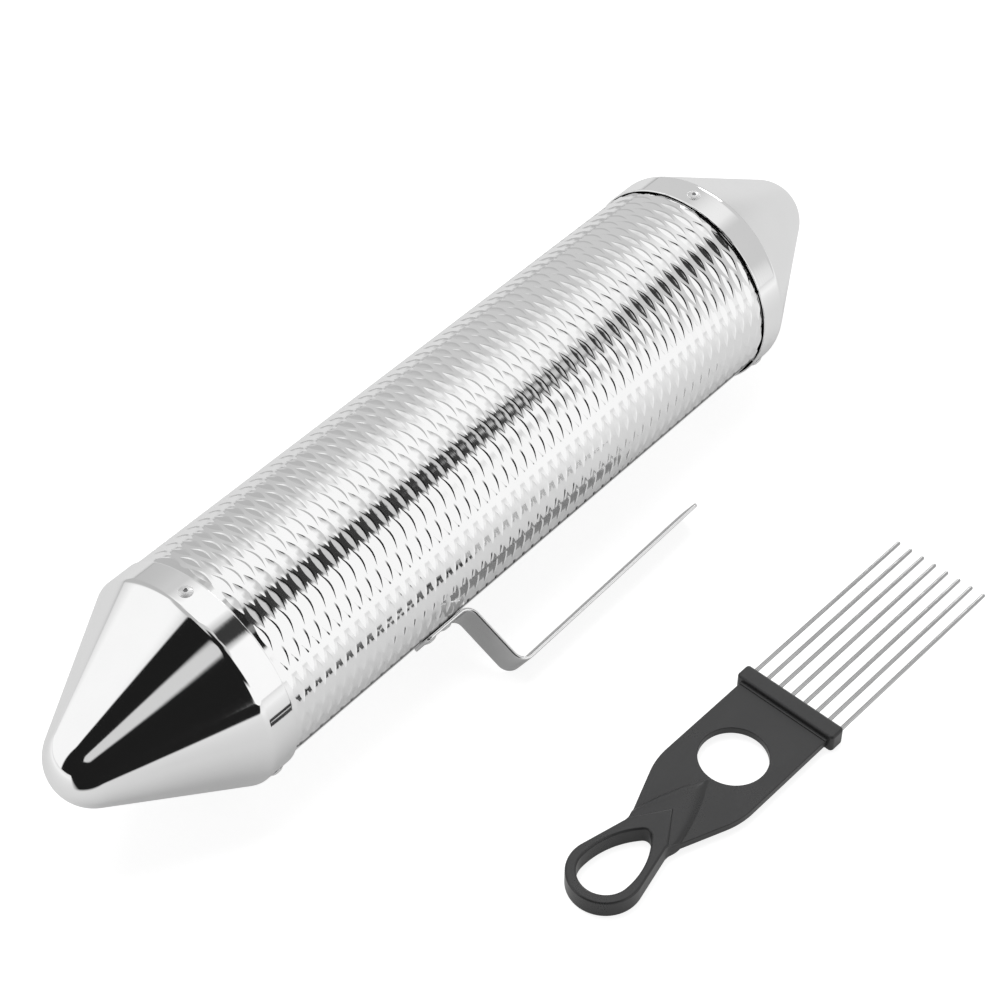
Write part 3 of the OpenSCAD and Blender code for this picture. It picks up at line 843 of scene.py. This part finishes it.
def strap_half(along, low, high):
    """Half of the strap's width, drawn in near both ends to round the corners."""
    back = min(along - low, high - along, STRAP_CORNER)
    drop = STRAP_CORNER - math.sqrt(max(STRAP_CORNER ** 2 - (STRAP_CORNER - back) ** 2, 0.0))
    return STRAP_W / 2 - drop


def make_strap():
    stations = strap_line()
    low = stations[0][0]
    high = stations[-1][0]
    points = []
    highlight_marks = []
    rings = []
    for along, out, turn in stations:
        half = strap_half(along, low, high)
        section = rounded_outline(-half, half, STRAP_T / 2, STRAP_EDGE, 3)
        rings.append(list(range(len(points), len(points) + len(section))))
        for side, through in section:
            spot_x = along - through * math.sin(turn)
            spot_r = out + through * math.cos(turn)
            points.append(beside_handle(spot_x, spot_r, side))
            # The mark is highest on the strap's narrow edges, where the painted highlight goes
            highlight_marks.append(1 - (abs(through) / (STRAP_T / 2)) ** 4)
    made = mesh_object("bent_strap", points, skin(rings) + [rings[0], rings[-1]])
    made.data.attributes.new("edge_mark", "FLOAT", "POINT").data.foreach_set("value", highlight_marks)
    return made


strap = make_strap()
strap.data.materials.append(metals["strap_steel"])
finish_mesh(strap.data, crisp=50)
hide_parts("handle_strap")
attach(strap, "guiro")
report(strap)

# %% [markdown]
# The scraper is one moulding with several thicknesses: a thin plate with a round window, a thick loop for
# the finger, slopes that lead from the loop's point down to the plate, and a head bar that holds the wires.
# A flat curve with extrude and bevel gives each layer its rounded edges, and a union joins the layers.

# %% Sizes of the moulding
PLATE_HALF = 18.6
PLATE_T = 3.0
WINDOW_R = 12.1
BAR_U = 26.8
BAR_D = 6.5
BAR_T = 7.4
BAR_HALF = 20.8
BAR_CORNER = 1.4
LOOP_U = 65.2
LOOP_R = 13.0
HOLE_R = 9.3
HOLE_REACH = 21.5
HOLE_TIP_R = 2.6
HOLE_SIDE_R = 30.0
NECK_GAP = 20.6
NECK_HALF = 8.6
NECK_R = 5.0
SHOULDER_PLATE_R = 30.0
SHOULDER_BACK = 12.7
CHEVRON_U = NECK_GAP - LOOP_U + 0.5
CHEVRON_LEN = 12.7
TUCK_BACK = 2.0
TUCK_IN = 2.5
TUCK_POINT = 0.9
SLOPE_U = CHEVRON_U + 4.3
SLOPE_POINT = -WINDOW_R - 0.5
MID_Z = BAR_T / 2
PLATE_TOP = MID_Z + PLATE_T / 2
LOOP_AT = Vector((-LOOP_U, 0.0))
NECK_AT = Vector((NECK_GAP - LOOP_U, NECK_HALF + NECK_R))
SHOULDER_AT = Vector((-SHOULDER_BACK, PLATE_HALF - SHOULDER_PLATE_R))
print("plate", 2 * PLATE_HALF, "mm wide and", PLATE_T, "mm thick")


# %% Outlines of the plate, the loop and their openings
def heading(start, stop):
    """Angle of the line from one point to another."""
    return math.atan2(stop[1] - start[1], stop[0] - start[0])


def flank_open(start, radius):
    """Angle between the line to the neck's hollow and the direction across a flank that touches both arcs."""
    return math.acos((radius + NECK_R) / (NECK_AT - start).length)


LOOP_ACROSS = heading(LOOP_AT, NECK_AT) + flank_open(LOOP_AT, LOOP_R)
SHOULDER_ACROSS = heading(SHOULDER_AT, NECK_AT) - flank_open(SHOULDER_AT, SHOULDER_PLATE_R)
FLANK_FROM = NECK_AT - NECK_R * Vector((math.cos(SHOULDER_ACROSS), math.sin(SHOULDER_ACROSS)))


def neck_width(u):
    """Half width of the neck, in its hollow or on the flank that leads to the shoulder."""
    if u > FLANK_FROM.x:
        return FLANK_FROM.y - (u - FLANK_FROM.x) / math.tan(SHOULDER_ACROSS)
    return NECK_AT.y - math.sqrt(NECK_R ** 2 - (u - NECK_AT.x) ** 2)


def mirrored(side):
    """A closed outline from its upper half, which runs from one end to the other."""
    return side + [(u, -v) for u, v in reversed(side) if abs(v) > ON_AXIS]


def finger_hole():
    """A round end drawn out to a narrow one, with bowed sides that touch both."""
    tip_u = HOLE_REACH - HOLE_TIP_R
    to_round = HOLE_SIDE_R - HOLE_R
    to_tip = HOLE_SIDE_R - HOLE_TIP_R
    side_u = (to_round ** 2 - to_tip ** 2 + tip_u ** 2) / (2 * tip_u)
    side_at = LOOP_AT + Vector((side_u, -math.sqrt(to_round ** 2 - side_u ** 2)))
    tip_at = LOOP_AT + Vector((tip_u, 0.0))
    round_turn = heading(side_at, LOOP_AT)
    tip_turn = heading(side_at, tip_at)
    upper = arc(tip_at, HOLE_TIP_R, 0.0, tip_turn, 12)
    upper += arc(side_at, HOLE_SIDE_R, tip_turn, round_turn, 20)[1:]
    upper += arc(LOOP_AT, HOLE_R, round_turn, math.pi, 32)[1:]
    return mirrored(upper)


chevron_turn = math.acos((CHEVRON_U - NECK_AT.x) / NECK_R)
loop_side = [(CHEVRON_U + CHEVRON_LEN, 0.0)]
loop_side += arc(NECK_AT, NECK_R, -chevron_turn, LOOP_ACROSS - math.pi, 16)
loop_side += arc(LOOP_AT, LOOP_R, LOOP_ACROSS, math.pi, 40)
plate_side = [(BAR_U + BAR_D / 2, PLATE_HALF)]
plate_side += arc(SHOULDER_AT, SHOULDER_PLATE_R, math.pi / 2, SHOULDER_ACROSS, 24)
plate_side += arc(NECK_AT, NECK_R, SHOULDER_ACROSS - math.pi, -chevron_turn, 16)
plate_side += [(CHEVRON_U - TUCK_BACK, NECK_HALF - TUCK_IN), (CHEVRON_U + TUCK_POINT, 0.0)]
window = arc((0.0, 0.0), WINDOW_R, 0.0, 2 * math.pi, 96)[:-1]
hole = finger_hole()
print("outline points:", len(loop_side), len(plate_side), len(window), len(hole))

# %% Layers and blocks
WELD = 0.001


def layer(name, outlines, low, high, edge):
    """A flat slab with rounded edges from closed outlines, the first round the others."""
    curve = bpy.data.curves.new(name, "CURVE")
    curve.dimensions = "2D"
    curve.fill_mode = "BOTH"
    curve.extrude = (high - low) / 2 - edge
    curve.bevel_depth = edge
    curve.bevel_resolution = 3
    curve.offset = -edge
    for outline in outlines:
        spline = curve.splines.new("POLY")
        spline.points.add(len(outline) - 1)
        for spot, (u, v) in zip(spline.points, outline):
            spot.co = (u, v, 0.0, 1.0)
        spline.use_cyclic_u = True
    host = placed(name, curve)
    mesh = settled_mesh(host)
    bpy.data.objects.remove(host)
    for vertex in mesh.vertices:
        vertex.co.z += (low + high) / 2
    turn_outward(mesh, WELD)
    return placed(name, mesh)


def rounded_block(name, low, high, edge, steps):
    shape = bmesh.new()
    bmesh.ops.create_cube(shape, size=1.0)
    for vertex in shape.verts:
        for axis in range(3):
            share = vertex.co[axis] + 0.5
            vertex.co[axis] = low[axis] + (high[axis] - low[axis]) * share
    bmesh.ops.bevel(shape, geom=shape.edges[:], offset=edge, segments=steps, profile=0.5, affect="EDGES")
    mesh = bpy.data.meshes.new(name)
    shape.to_mesh(mesh)
    shape.free()
    return placed(name, mesh)


print("points closer than", WELD, "mm are joined")

# %% Slopes from the loop's point down to the plate
SLOPE_ALONG = 32
SLOPE_DOWN = 16
SLOPE_TOP = BAR_T - 0.65
SLOPE_BOW = 1.3
SLOPE_EVEN = 0.12
SINK = 0.02


def slope_point(share, down):
    """Point on the upper slope: share goes from side to side, down from the chevron to the plate."""
    near = abs(2 * share - 1)
    side = 1 if share < 0.5 else -1
    top = (CHEVRON_U - 1.0 + CHEVRON_LEN * (1 - near), neck_width(CHEVRON_U) * near)
    bow = SLOPE_BOW * 4 * near * (1 - near)
    foot = (SLOPE_U + (SLOPE_POINT - SLOPE_U) * (1 - near), neck_width(SLOPE_U) * near + bow)
    u = top[0] + (foot[0] - top[0]) * down
    v = top[1] + (foot[1] - top[1]) * down
    v = min(v, neck_width(u) - SINK)
    fall = SLOPE_EVEN * down + (1 - SLOPE_EVEN) * down ** 4
    z = SLOPE_TOP + (PLATE_TOP - SINK - SLOPE_TOP) * fall
    return (u, side * v, z)


def make_slopes(name):
    """A closed lens of the upper slope and its mirror image below."""
    points = []
    faces = []
    columns = SLOPE_DOWN + 1
    for flip in (1, -1):
        for along in range(SLOPE_ALONG + 1):
            for down in range(columns):
                u, v, z = slope_point(along / SLOPE_ALONG, down / SLOPE_DOWN)
                points.append((u, v, MID_Z + flip * (z - MID_Z)))
    half = len(points) // 2

    def quad(start, one, two):
        """A face from a first point and two steps through the list of points."""
        faces.append((start, start + one, start + one + two, start + two))

    for first in (0, half):
        for along in range(SLOPE_ALONG):
            for down in range(SLOPE_DOWN):
                quad(first + along * columns + down, columns, 1)
    for along in range(SLOPE_ALONG):
        for down in (0, SLOPE_DOWN):
            quad(along * columns + down, columns, half)
    for along in (0, SLOPE_ALONG):
        for down in range(SLOPE_DOWN):
            quad(along * columns + down, 1, half)
    mesh = bpy.data.meshes.new(name)
    mesh.from_pydata(points, [], faces)
    turn_outward(mesh, WELD)
    return placed(name, mesh)


slopes = make_slopes("slopes")
print("slopes:", len(slopes.data.polygons), "faces")

# %% The layers joined into one moulding
PLATE_EDGE = 0.35
LOOP_EDGE = 0.8
STEP_D = 1.1
STEP_H = 0.4
STEP_EDGE = 0.2
BAR_EDGE = 0.9


def join_all(base, others):
    """Unites solids one after the other."""
    for other in others:
        modifier = base.modifiers.new("join", "BOOLEAN")
        modifier.operation = "UNION"
        modifier.solver = "EXACT"
        modifier.object = other
        keep_modified(base, modifier)
        bpy.data.objects.remove(other)


def shade_flats_evenly(piece):
    """Lets the wide flat faces rule the shading, so that only the rounded edges look round."""
    modifier = piece.modifiers.new("weigh", "WEIGHTED_NORMAL")
    modifier.keep_sharp = True
    keep_modified(piece, modifier)


plate = layer("moulded_scraper", [mirrored(plate_side), window], MID_Z - PLATE_T / 2, PLATE_TOP, PLATE_EDGE)
loop = layer("loop", [mirrored(loop_side), hole], 0.0, BAR_T, LOOP_EDGE)
step_low = (BAR_U - STEP_D, -PLATE_HALF, MID_Z - PLATE_T / 2 - STEP_H)
step_high = (BAR_U + BAR_D / 2, PLATE_HALF, PLATE_TOP + STEP_H)
step = rounded_block("step", step_low, step_high, STEP_EDGE, 2)
bar_outline = rounded_outline(BAR_U, BAR_U + BAR_D, BAR_HALF, BAR_CORNER, 6)
bar = layer("bar", [bar_outline], 0.0, BAR_T, BAR_EDGE)
join_all(plate, [loop, slopes, step, bar])
for vertex in plate.data.vertices:
    vertex.co = Vector(on_scraper(*vertex.co)) * MM
plate.data.materials.clear()
plate.data.materials.append(scraper_plastic)
finish_mesh(plate.data)
shade_flats_evenly(plate)
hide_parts("scraper_body")
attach(plate, "scraper")
report(plate)

# %% [markdown]
# Eight wires are moulded into the head bar. They are straight drawn steel with rounded tips. One wire is
# the pattern, and a geometry tree repeats it across the bar.

# %% The tree that sets the wires
inputs = {**COPY_INPUTS, "First": VECTOR, "Step": VECTOR, "Turn": FLOAT}
comb_tree, given, leave = new_geometry_tree("set_in_comb", inputs)
index = add_node(comb_tree, "GeometryNodeInputIndex").outputs[0]
shift = add_node(comb_tree, "ShaderNodeVectorMath", {0: given["Step"], "Scale": index}, operation="SCALE")
spot = add_node(comb_tree, "ShaderNodeVectorMath", {0: given["First"], 1: shift.outputs[0]}, operation="ADD")
turn = add_node(comb_tree, "ShaderNodeCombineXYZ", {2: given["Turn"]})
end_with_copies(comb_tree, given, leave, spot, turn)
print("tree", comb_tree.name, "with", len(comb_tree.nodes), "nodes")

# %% The wires
WIRE_R = 0.75
WIRE_LEN = 84.5
WIRE_IN = 5.0
WIRE_COUNT = 8
WIRE_PITCH = 2 * PLATE_HALF / (WIRE_COUNT - 1)
WIRE_STEPS = 20

wire_from = BAR_U + BAR_D - WIRE_IN
first_wire = Vector(on_scraper(wire_from, PLATE_HALF, MID_Z)) * MM
second_wire = Vector(on_scraper(wire_from, PLATE_HALF - WIRE_PITCH, MID_Z)) * MM
straight = WIRE_IN + WIRE_LEN - WIRE_R
tip = arc((straight, 0.0), WIRE_R, math.pi / 2, 0.0, 5)
profile = [(0.0, 0.0), (0.0, WIRE_R), *tip[:-1], (straight + WIRE_R, 0.0)]
one_wire = mesh_object("wire_pattern", *turned(profile, WIRE_STEPS, closed=False))
finish_mesh(one_wire.data)
wires = grown_object("comb_wires", comb_tree, {
    "Pattern": one_wire,
    "Count": WIRE_COUNT,
    "First": first_wire,
    "Step": second_wire - first_wire,
    "Turn": SCRAPER_TURN,
    "Material": metals["wire_steel"],
})
bpy.data.objects.remove(one_wire)
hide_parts(*[f"tine_{number}" for number in range(1, WIRE_COUNT + 1)])
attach(wires, "scraper")
report(wires)

# %% [markdown]
# Polished metal shows its surroundings, so a studio for it is built of what it will mirror: white and grey
# cards on all sides, and black flags where a dark streak should fall. Each card is a soft-edged patch of the
# sky, given by its direction. Only mirrored rays see the cards. The camera sees plain white behind the
# object, and everything else is lit evenly.

# %% A group for one card of the sky
CARD_LABELS = ("Centre Azimuth", "Half Width", "Centre Elevation", "Half Height", "Softness")
FULL_TURN = 360.0
HALF_TURN = 180.0

inputs = dict.fromkeys(("Azimuth", "Elevation", *CARD_LABELS), FLOAT)
card_group, given, leave = new_tree("sky_card", "ShaderNodeTree", inputs, {"Mask": FLOAT})
turned_by = given["Azimuth"] - given["Centre Azimuth"] + (FULL_TURN + HALF_TURN)
across = (turned_by.maths("MODULO", FULL_TURN) - HALF_TURN).maths("ABSOLUTE")
upward = (given["Elevation"] - given["Centre Elevation"]).maths("ABSOLUTE")
in_width = ((given["Half Width"] - across) / given["Softness"] + 0.5).clamped()
in_height = ((given["Half Height"] - upward) / given["Softness"] + 0.5).clamped()
feed(card_group, leave.inputs["Mask"], in_width * in_height)
print("group:", card_group.name)

# %% The studio round the object
GREY_SKY = 0.62
PLAIN_LEVEL = 0.4
CARDS = [
    # the five labelled angles in degrees, then the level
    (35, 52, 72, 24, 14, 1.0),
    (78, 14, 28, 42, 8, 0.5),
    (130, 34, 24, 34, 10, 0.98),
    (-85, 34.5, 20, 28, 4, 1.0),
    (-50, 7, 41, 6, 3, 1.0),
    (-100, 31, 68, 11, 5, 0.02),
    (130, 45, 76, 18, 6, 0.5),
    (-41.5, 7, 53.5, 8.5, 2.5, 0.04),
    (-31, 6, 56.5, 5.5, 2.5, 0.04),
    (-108, 20, 58, 12, 6, 0.012),
    (-108, 18, 36, 16, 6, 0.012),
    (-160, 43, 28, 40, 3, 0.012),
    (-149, 9, 45, 7, 3, 0.65),
]

world = bpy.data.worlds.new("studio")
bpy.context.scene.world = world
world.use_nodes = True
tree = world.node_tree
background = tree.nodes["Background"]
direction = add_node(tree, "ShaderNodeTexCoord").outputs["Generated"]
split = add_node(tree, "ShaderNodeSeparateXYZ", {0: direction})
to_degrees = HALF_TURN / math.pi
east = Field(tree, split.outputs[0])
azimuth = Field(tree, split.outputs[1]).maths("ARCTAN2", east) * to_degrees
elevation = Field(tree, split.outputs[2]).maths("ARCSINE") * to_degrees
level = as_field(tree, GREY_SKY)
for *angles, brightness in CARDS:
    inputs = {"Azimuth": azimuth, "Elevation": elevation, **dict(zip(CARD_LABELS, angles))}
    card = add_node(tree, "ShaderNodeGroup", inputs, node_tree=card_group)
    level = Field(tree, card.outputs["Mask"]).pick(level, brightness)
path = tree.nodes.new("ShaderNodeLightPath")
mirrored_ray = Field(tree, path.outputs["Is Glossy Ray"])
camera_ray = Field(tree, path.outputs["Is Camera Ray"])
seen = mirrored_ray.pick(PLAIN_LEVEL, level)
feed(tree, background.inputs["Strength"], camera_ray.pick(seen, 1.0))
background.inputs["Color"].default_value = grey(1.0)
print("studio has", len(CARDS), "cards")

# %% [markdown]
# The floor is a wide white sheet. To the camera most of its brightness is its own, so it stays white like
# the background and keeps only a faint shadow. In the metal its glow is pale grey close by, a painted shade
# near the object, and white farther to the front and left. A black cloth there, which only the metal sees,
# lengthens the dark wedge on the cone.

# %% The floor
FLOOR_HALF = 3000.0
FLOOR_Z = -0.05
PAPER_TONE = 0.36
FLOOR_IN_VIEW = 0.84
FLOOR_IN_METAL = 0.28
FAR_GAIN = 0.3
FAR_FRONT = 0.04
FAR_LEFT = 0.2
FAR_OVER = 0.28
CLOTH_X = 0.25
CLOTH_Y = 0.05
CLOTH_SOFT = 0.02
CLOTH_LEVEL = 0.012

corners = [(-1, -1), (1, -1), (1, 1), (-1, 1)]
points = [(FLOOR_HALF * x, FLOOR_HALF * y, FLOOR_Z) for x, y in corners]
floor = mesh_object("floor", points, [(0, 1, 2, 3)])
material = bpy.data.materials.new("floor_paper")
material.use_nodes = True
tree = material.node_tree
tree.nodes.clear()
paper = add_node(tree, "ShaderNodeBsdfDiffuse", {"Color": grey(PAPER_TONE)})
place = add_node(tree, "ShaderNodeTexCoord").outputs["Object"]
split = add_node(tree, "ShaderNodeSeparateXYZ", {0: place})
x = Field(tree, split.outputs[0])
y = Field(tree, split.outputs[1])
away = (y * -1.0 - FAR_FRONT).maths("MAXIMUM", x * -1.0 - FAR_LEFT)
far_out = (away / FAR_OVER).clamped()
path = tree.nodes.new("ShaderNodeLightPath")
# In the metal the floor glows less near the object, as a painted shade there
mirrored_level = far_out * FAR_GAIN + FLOOR_IN_METAL
strength = Field(tree, path.outputs["Is Camera Ray"]).pick(mirrored_level, FLOOR_IN_VIEW)
glow = add_node(tree, "ShaderNodeEmission", {"Color": grey(1.0), "Strength": strength})
bright = add_node(tree, "ShaderNodeAddShader", {0: paper.outputs[0], 1: glow.outputs[0]})
left_of_edge = ((x * -1.0 - CLOTH_X) / CLOTH_SOFT).clamped()
on_cloth = left_of_edge * ((y * -1.0 + CLOTH_Y) / CLOTH_SOFT).clamped()
cloth_seen = on_cloth * Field(tree, path.outputs["Is Glossy Ray"])
cloth = add_node(tree, "ShaderNodeEmission", {"Strength": CLOTH_LEVEL})
layers = {0: cloth_seen, 1: bright.outputs[0], 2: cloth.outputs[0]}
dressed = add_node(tree, "ShaderNodeMixShader", layers)
leave = tree.nodes.new("ShaderNodeOutputMaterial")
tree.links.new(dressed.outputs[0], leave.inputs["Surface"])
floor.data.materials.append(material)
print("floor:", floor.name)

# %% [markdown]
# One wide lamp overhead gives the plastic its soft shading, and the metal mirrors the cards instead of it.
# A small lamp far to the right rakes over the scraper, so that its slopes and rounded edges catch the light.

# %% The lamps
def make_lamp(name, place, aim_at, size, energy, in_metal):
    light = bpy.data.lights.new(name, "AREA")
    light.size = size
    light.energy = energy
    lamp = placed(name, light)
    lamp.location = place
    lamp.rotation_euler = (Vector(aim_at) - lamp.location).to_track_quat("-Z", "Y").to_euler()
    lamp.visible_glossy = in_metal
    print("lamp:", lamp.name, energy, "watts")


make_lamp("soft_box", (0.2, 0.5, 1.3), (0.0, 0.0, 0.0), size=1.2, energy=19.0, in_metal=False)
make_lamp("side_lamp", (0.92, 0.36, 0.52), (-0.05, -0.08, 0.0), size=0.3, energy=0.85, in_metal=True)

# %% [markdown]
# The camera stands at the near end of the guiro and looks down on it at about forty-five degrees, with a
# long lens. Its place was worked out from the tube's ends, the caps' tips and the scraper's corners.

# %% The camera and the view settings
CAMERA_AT = (-0.459246, -0.358579, 0.666844)
CAMERA_AIM = Vector((0.523133, 0.454916, -0.720682))
LENS = 89.97
SENSOR = 36.0

camera = placed("camera", bpy.data.cameras.new("camera"))
camera.data.sensor_width = SENSOR
camera.data.lens = LENS
camera.location = CAMERA_AT
camera.rotation_euler = CAMERA_AIM.to_track_quat("-Z", "Y").to_euler()
bpy.context.scene.camera = camera
bpy.context.scene.view_settings.view_transform = "Standard"
print("camera lens:", camera.data.lens, "mm")
